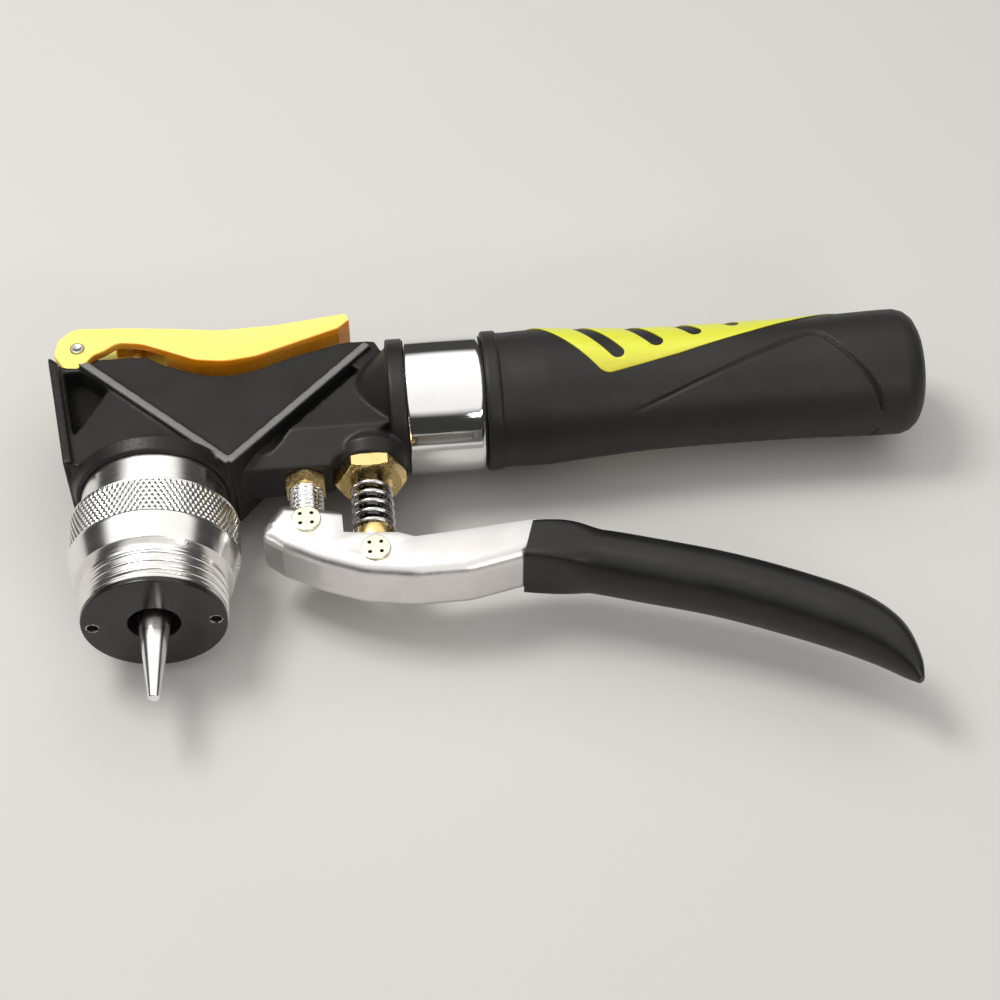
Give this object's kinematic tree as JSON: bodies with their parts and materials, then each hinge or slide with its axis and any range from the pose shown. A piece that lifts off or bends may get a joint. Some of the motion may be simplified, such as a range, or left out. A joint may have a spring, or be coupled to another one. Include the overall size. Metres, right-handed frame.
{
  "type": "hydraulic tube expander",
  "caption": "Hand-operated hydraulic tube expander: threaded nose with conical mandrel, pump lever, release trigger and rubber oil-filled handle.",
  "frame": {"origin": "on the ram's axis, at the front end of the nose thread", "axes": "+X along the handle from head to grip end, -Y the way the mandrel points, +Z square to the tool's mid-plane"},
  "size_m": [0.2588, 0.1445, 0.0482],
  "materials": {
    "casting_black": "satin black anodised casting",
    "machined_steel": "turned bright steel",
    "inner_steel": "plain steel",
    "nose_black": "glossy black oxide",
    "mandrel_steel": "ground and polished",
    "spring_steel": "bright spring wire",
    "trigger_yellow": "gloss yellow paint",
    "brass": "turned brass",
    "chrome": "mirror chrome",
    "lever_chrome": "satin chrome",
    "lever_vinyl": "semi-gloss dipped vinyl",
    "grip_rubber": "satin moulded rubber",
    "inlay_yellow": "satin yellow rubber",
    "seal_rubber": "nitrile rubber",
    "tube_aluminium": "plain drawn tube"
  },
  "bodies": {
    "pump": {"pump_body": "casting_black", "nose_cylinder": "machined_steel", "knurled_collar": "machined_steel", "collar_set_screw": "inner_steel", "suction_ball": "inner_steel", "discharge_ball": "inner_steel", "suction_seat": "inner_steel", "trigger_pin": "inner_steel", "filler_screw": "inner_steel", "nose_cap": "nose_black", "ram_spring": "spring_steel", "release_spring": "spring_steel", "pump_spring": "spring_steel", "release_valve_nut": "brass", "fulcrum_locknut": "brass", "pump_gland": "brass", "coupling_ring": "chrome", "fulcrum_link": "chrome", "handle_grip": "grip_rubber", "grip_inlay": "inlay_yellow", "sleeve_seal": "seal_rubber", "gland_seal": "seal_rubber", "reservoir_bladder": "seal_rubber", "reservoir_tube": "tube_aluminium", "end_plug": "tube_aluminium"},
    "ram": {"piston": "inner_steel", "piston_seal": "seal_rubber", "mandrel": "mandrel_steel"},
    "lever": {"lever_arm": "lever_chrome", "lever_grip": "lever_vinyl", "fulcrum_pin": "brass", "plunger_pin": "brass"},
    "plunger": {"pump_plunger": "chrome", "plunger_foot": "brass"},
    "trigger": {"release_trigger": "trigger_yellow"},
    "valve_stem": {"release_stem": "brass", "release_ball": "inner_steel"}
  },
  "joints": [
    {"name": "ram_slide", "type": "slide", "parent": "pump", "child": "ram", "axis": [0, -1, 0], "range_m": [0, 0.013], "stiffness_N_per_m": 2000, "springref_m": -0.003, "deforming": ["ram_spring"]},
    {"name": "lever_hinge", "type": "hinge", "parent": "pump", "child": "lever", "pos_m": [0.0432, 0.0236, 0], "axis": [0, 0, 1], "range_deg": [0, 20], "stiffness_Nm_per_rad": 1.5, "springref_deg": -17.19, "deforming": ["pump_spring"]},
    {"name": "plunger_slide", "type": "slide", "parent": "pump", "child": "plunger", "axis": [0, 1, 0], "range_m": [0, 0.0075]},
    {"name": "trigger_hinge", "type": "hinge", "parent": "pump", "child": "trigger", "pos_m": [-0.0227, 0.0966, 0], "axis": [0, 0, 1], "range_deg": [-5, 0], "stiffness_Nm_per_rad": 0.3, "springref_deg": 11.46, "deforming": ["release_spring"]},
    {"name": "stem_slide", "type": "slide", "parent": "pump", "child": "valve_stem", "axis": [0, 1, 0], "range_m": [-0.0016, 0]}
  ],
  "couplings": [
    {"joint": "plunger_slide", "follows": "lever_hinge", "m_per_rad": 0.0205},
    {"joint": "stem_slide", "follows": "trigger_hinge", "m_per_rad": 0.0177}
  ]
}
